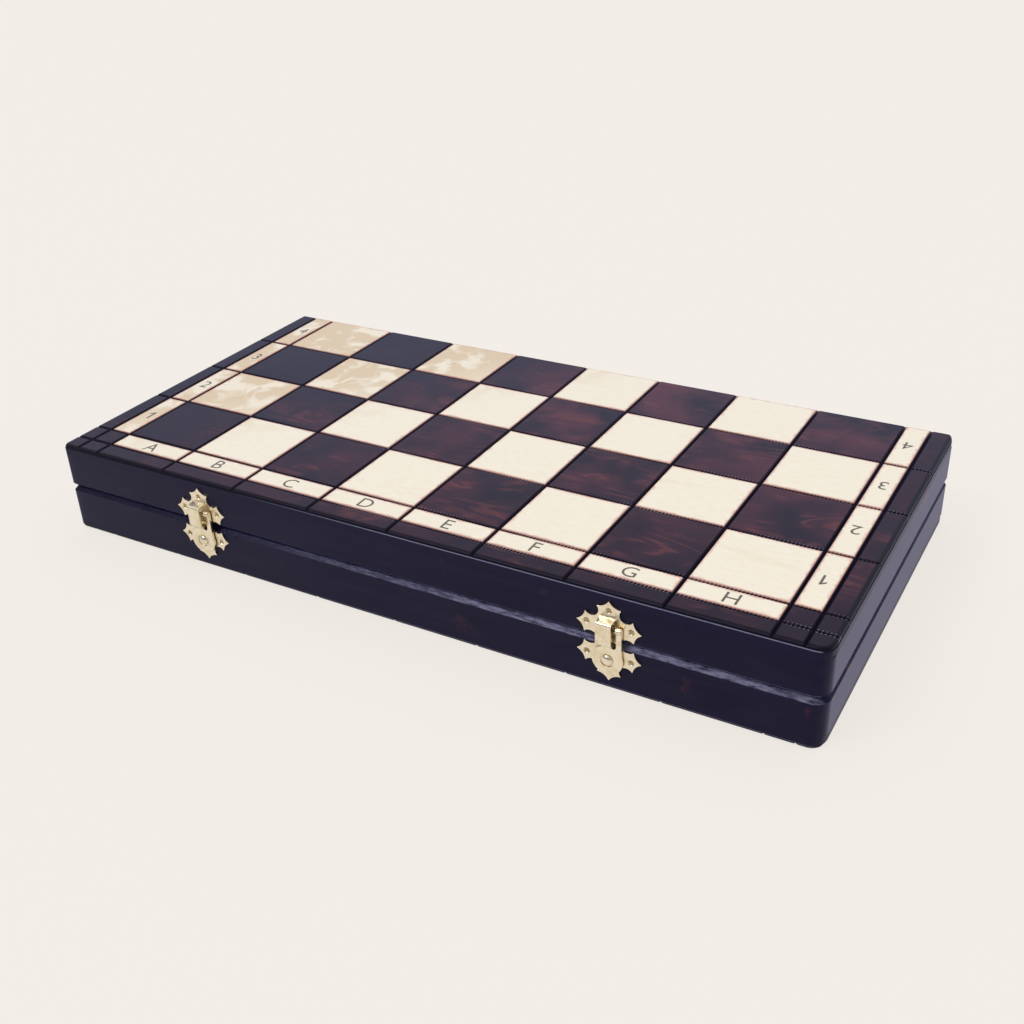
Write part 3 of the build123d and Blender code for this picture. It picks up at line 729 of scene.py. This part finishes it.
def felt_sheet(body, flip, finish):
    """Felt glued inside a board: a height field whose nap waves by a few hundredths of a
    millimetre, as a product of cosines 17 and 23 mm long, the second shifted along x, and whose
    cut edge falls away as a quarter circle."""
    node = f"{body}_felt"
    low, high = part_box(node)
    insets = [FELT_EDGE * (1 - np.cos(turn)) for turn in np.radians([0, 30, 60, 90])]
    ends = ((low, 1), (high, -1))
    xs = stops(low.x, high.x, FELT_PITCH, [end.x + sign * inset for end, sign in ends for inset in insets])
    ys = stops(low.y, high.y, FELT_PITCH, [end.y + sign * inset for end, sign in ends for inset in insets])
    x, y = np.meshgrid(xs, ys)
    inwards = np.minimum(np.minimum(x - low.x, high.x - x), np.minimum(y - low.y, high.y - y))
    across = np.clip(1 - inwards / FELT_EDGE, 0, 1)
    waves = np.cos(2 * np.pi * x / (17 * MM)) * np.cos(2 * np.pi * y / (23 * MM) + x / (9 * MM))
    depth = FELT_EDGE * (1 - np.sqrt(1 - across ** 2)) + FELT_NAP * (0.5 + 0.5 * waves)
    base_z, top_z = (2 * JOINT_Z - high.z, 2 * JOINT_Z - low.z) if flip else (low.z, high.z)
    points, quads, walls, fan = height_field(x, y, top_z - depth, base_z)
    if flip:
        points, quads, walls, fan = mirrored(points, quads, walls, fan)
    mesh = bpy.data.meshes.new(f"{body}_felt_sheet")
    mesh.from_pydata(points.tolist(), [], quads.tolist() + walls.tolist() + fan.tolist())
    mesh.shade_smooth()
    mesh.set_sharp_from_angle(angle=np.radians(40))
    piece = bpy.data.objects.new(f"{body}_felt_sheet", mesh)
    place_piece(piece, body, finish, (node,))


def post_section(inset):
    """Outline in plan of a corner post whose outer face lies this far inside the box: the small
    outer arc, and back along an arc that sinks into the rails' by a half sine wave."""
    outward, back = np.radians(np.linspace(180, 270, 9)), np.radians(np.linspace(270, 180, 13))
    small = max(LEFT_CORNER_R - inset, 0.1 * MM)
    corner = np.array([-HALF_LENGTH, Y_FRONT])
    outer = corner + inset + small + small * np.stack([np.cos(outward), np.sin(outward)], axis=-1)
    reach = CORNER_R - inset - POST_SINK * np.sin(2 * (back - np.pi))
    inner = corner + CORNER_R + reach[:, None] * np.stack([np.cos(back), np.sin(back)], axis=-1)
    return np.concatenate([outer, inner])


def corner_post(body, flip, finish):
    """Fills the rails' rounded front left corner out to a nearly sharp one: a section carried
    from the board to the chamfer, and one inset by the chamfer at the rim."""
    low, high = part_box(f"{body}_front_rail")
    board_z, rim_z = (low.z, high.z) if flip else (high.z, low.z)
    chamfer_z = rim_z + (RIM_CHAMFER if rim_z < board_z else -RIM_CHAMFER)
    rings = []
    for z, inset in ((board_z, 0), (chamfer_z, 0), (rim_z, RIM_CHAMFER)):
        section = post_section(inset)
        rings.append(np.column_stack([section, np.full(len(section), z)]))
    index = np.arange(sum(map(len, rings))).reshape(len(rings), -1)
    after = np.roll(index, -1, axis=1)
    sides = np.stack([index[:-1], after[:-1], after[1:], index[1:]], axis=-1).reshape(-1, 4)
    ends = [index[0].tolist(), index[-1].tolist()]
    mesh = bpy.data.meshes.new(f"{body}_left_corner")
    mesh.from_pydata(np.concatenate(rings).tolist(), [], sides.tolist() + ends)
    merged(mesh)
    mesh.shade_smooth()
    mesh.set_sharp_from_angle(angle=np.radians(25))
    place_piece(bpy.data.objects.new(f"{body}_left_corner", mesh), body, finish)


# ---------------------------------------------------------------- brass

def softened(node, body, finish):
    """A CAD piece with its loose triangles joined and its sharp edges bevelled."""
    solid = bmesh.new()
    solid.from_mesh(frame["nodes"][node].data)
    bmesh.ops.remove_doubles(solid, verts=solid.verts, dist=1e-6)
    bmesh.ops.dissolve_limit(solid, angle_limit=np.radians(0.5), verts=solid.verts, edges=solid.edges)
    mesh = bpy.data.meshes.new(node + "_stamped")
    solid.to_mesh(mesh)
    solid.free()
    mesh.shade_smooth()
    mesh.set_sharp_from_angle(angle=np.radians(35))
    piece = bpy.data.objects.new(node + "_stamped", mesh)
    bevel = piece.modifiers.new("soft_edges", "BEVEL")
    bevel.width = SOFT_EDGE
    bevel.segments = 2
    bevel.limit_method = "ANGLE"
    bevel.angle_limit = np.radians(35)
    bevel.harden_normals = False
    return place_piece(piece, body, finish, (node,))


def nails(finish):
    """Small brass nails, countersunk in the plates: a low domed head in the plate's hole, a cone
    under it and a pointed shank. An upper plate has one in each side lobe and one in its top
    lobe, a lower plate has the side ones only."""
    nail = turned(NAIL_PROFILE, 20)
    across, rise = NAIL_SIDE
    sides = [middle + sign * across for middle in CLASPS.values() for sign in (-1, 1)]
    upper = [(x, Y_FRONT, JOINT_Z + KEEPER_PLATE_RISE + rise) for x in sides]
    upper += [(x, Y_FRONT, JOINT_Z + KEEPER_PLATE_RISE + NAIL_TOP) for x in CLASPS.values()]
    lower = [(x, Y_FRONT, JOINT_Z - HOOK_PLATE_DROP - rise) for x in sides]
    for body, spots in (("lid", upper), ("base", lower)):
        fastener_group(f"{body}_brass_nails", [nail], spots, CLASP_AXES, body, finish,
                       (f"{body}_clasp_nails",))


def rivets(finish):
    """Rivets that carry the hooks: a low dome, an ellipse in section, over a collar and shank."""
    radius, rise, foot = RIVET_DOME
    dome = [(radius * np.cos(a), foot + rise * np.sin(a)) for a in np.radians(np.linspace(90, 0, 9))]
    rivet = turned([*dome, *RIVET_STEM], 40)
    for side, middle in CLASPS.items():
        fastener_group(f"{side}_domed_rivet", [rivet], [(middle, Y_FRONT, JOINT_Z - RIVET_DROP)],
                       CLASP_AXES, "base", finish, (f"{side}_rivet",))


def screws(finish):
    """Cross-slotted screws of the hinge leaves: cone, shank and four raised sectors."""
    head, cross = turned(SCREW_PROFILE, 24), lugs(4, *SCREW_LUG)
    for body, up in (("base", 1), ("lid", -1)):
        axes = ((1, 0, 0), (0, up, 0), (0, 0, up))
        spots = [(middle + sign * SCREW_SPREAD, Y_BACK - SCREW_INSET, JOINT_Z - up * LEAF_FACE)
                 for middle in HINGES for sign in (-1, 1)]
        fastener_group(f"{body}_cross_screws", [head, cross], spots, axes, body, finish,
                       (f"{body}_hinge_screws",))


# ---------------------------------------------------------------- studio

def softboxes(scene):
    """Two tall panels of soft light side by side, far off to the front left, like a window."""
    towards = Vector(WINDOW_TOWARDS).normalized()
    across = towards.cross(Vector((0, 0, 1))).normalized()
    for name, turn in (("left", -1), ("right", 1)):
        light = bpy.data.lights.new("window_" + name, "AREA")
        light.shape = "RECTANGLE"
        light.size, light.size_y = WINDOW_SIZE
        light.energy = WINDOW_RADIANCE * np.pi * light.size * light.size_y
        lamp = bpy.data.objects.new("window_" + name, light)
        lamp.location = towards * WINDOW_AWAY + across * turn * WINDOW_APART
        lamp.rotation_euler = towards.to_track_quat("Z", "Y").to_euler()
        scene.collection.objects.link(lamp)


def sky(scene):
    """Soft light from all round: warm white overhead, cooler towards the horizon, and dimmer in
    front, where the photographer's side of the studio is. The eye sees the backdrop's colour."""
    world = bpy.data.worlds.new("studio")
    scene.world = world
    world.use_nodes = True
    nodes = Nodes(world.node_tree)
    _, y, z = nodes.axes(nodes.add("TexCoord", out="Generated"))
    rise = nodes.ramp(z, 0.3, 1.0)
    behind = nodes.ramp(y, -0.7, 0.2, 0.35, 1.0)
    seen = nodes.add("LightPath", out="Is Camera Ray")
    strength = nodes.math("MAXIMUM", nodes.math("MAXIMUM", behind, rise), seen)
    colour = nodes.tint(rise, (0.5, 0.58, 0.8, 1.0), (1.34, 1.25, 1.06, 1.0))
    colour = nodes.tint(seen, colour, BACKDROP)
    nodes.add("OutputWorld", {"Surface": nodes.add("Background", {"Color": colour, "Strength": strength})})


def floor():
    """Plain paper floor. To the eye and in reflections it glows a little, which keeps the
    backdrop even, and it still takes the box's shadow."""
    mesh = bpy.data.meshes.new("floor")
    corners = [(x * FLOOR_REACH, y * FLOOR_REACH, 0) for x, y in ((-1, -1), (1, -1), (1, 1), (-1, 1))]
    mesh.from_pydata(corners, [], [(0, 1, 2, 3)])
    piece = bpy.data.objects.new("floor", mesh)
    bpy.context.scene.collection.objects.link(piece)
    paper, nodes = new_finish("matt_backdrop_paper")
    colour = linear(BACKDROP)
    matt = nodes.add("BsdfPrincipled", {"Base Color": colour, "Roughness": 0.9, "Specular IOR Level": 0.1})
    seen = 0.0
    for ray in ("Is Camera Ray", "Is Glossy Ray", "Is Transmission Ray"):
        seen = nodes.math("MAXIMUM", seen, nodes.add("LightPath", out=ray))
    glow = nodes.add("Emission", {"Color": colour, "Strength": 1.0})
    share = nodes.math("MULTIPLY", seen, FLOOR_GLOW)
    nodes.add("OutputMaterial", {"Surface": nodes.add("MixShader", {0: share, 1: matt, 2: glow})})
    mesh.materials.append(paper)


def camera(scene):
    """The photograph's view, solved from the crossings of the grooves."""
    lens = bpy.data.cameras.new("camera")
    lens.sensor_width = 36.0
    lens.lens = 43.51
    lens.clip_end = 20.0
    view = bpy.data.objects.new("camera", lens)
    right_up_back = Matrix(((0.87029261, 0.49118224, -0.03647999),
                            (-0.21632714, 0.44773227, 0.86760497),
                            (0.44248542, -0.74717858, 0.49591413)))
    place = right_up_back.transposed().to_4x4()
    place.translation = Vector((254.45, -418.92, 286.63)) * MM
    view.matrix_world = place
    scene.collection.objects.link(view)
    scene.camera = view


# ---------------------------------------------------------------- assembly

def dress():
    """Every piece with its finish, and the CAD nodes that stay as they are with theirs."""
    rail = lacquered_rail()
    felt = felt_cloth()
    hinge = brass("satin_rolled_brass", "#D2B272", "#A98A4E", 0.34)
    clasp = brass("stamped_plated_brass", "#F1E5CC", "#D9C8A2", 0.28)
    # the nail heads take a darker brass than the plates
    head = brass("darker_brass_nail", "#B3A27C", "#7A6A4C", 0.34)
    for name, piece in frame["nodes"].items():
        piece.data.materials.clear()
        piece.data.materials.append(rail if "rail" in name else hinge if "hinge" in name else clasp)
    for part in ("keeper_plate", "hook_plate", "hook"):
        for side in CLASPS:
            node = f"{side}_{part}"
            body = {"keeper_plate": "lid", "hook": node}.get(part, "base")
            softened(node, body, clasp)
    nails(head)
    rivets(clasp)
    screws(hinge)
    board_face("lid_board_face", "lid_board", "lid", stained_birch("stained_birch_upper", 1), False)
    board_face("base_board_face", "base_board", "base", stained_birch("stained_birch_lower", 0), True)
    labels(label_ink())
    felt_sheet("base", False, felt)
    felt_sheet("lid", True, felt)
    corner_post("base", True, rail)
    corner_post("lid", False, rail)


def studio():
    """Floor, sky, soft light and the camera."""
    scene = bpy.context.scene
    scene.view_settings.view_transform = "Standard"
    floor()
    sky(scene)
    softboxes(scene)
    camera(scene)


dress()
studio()
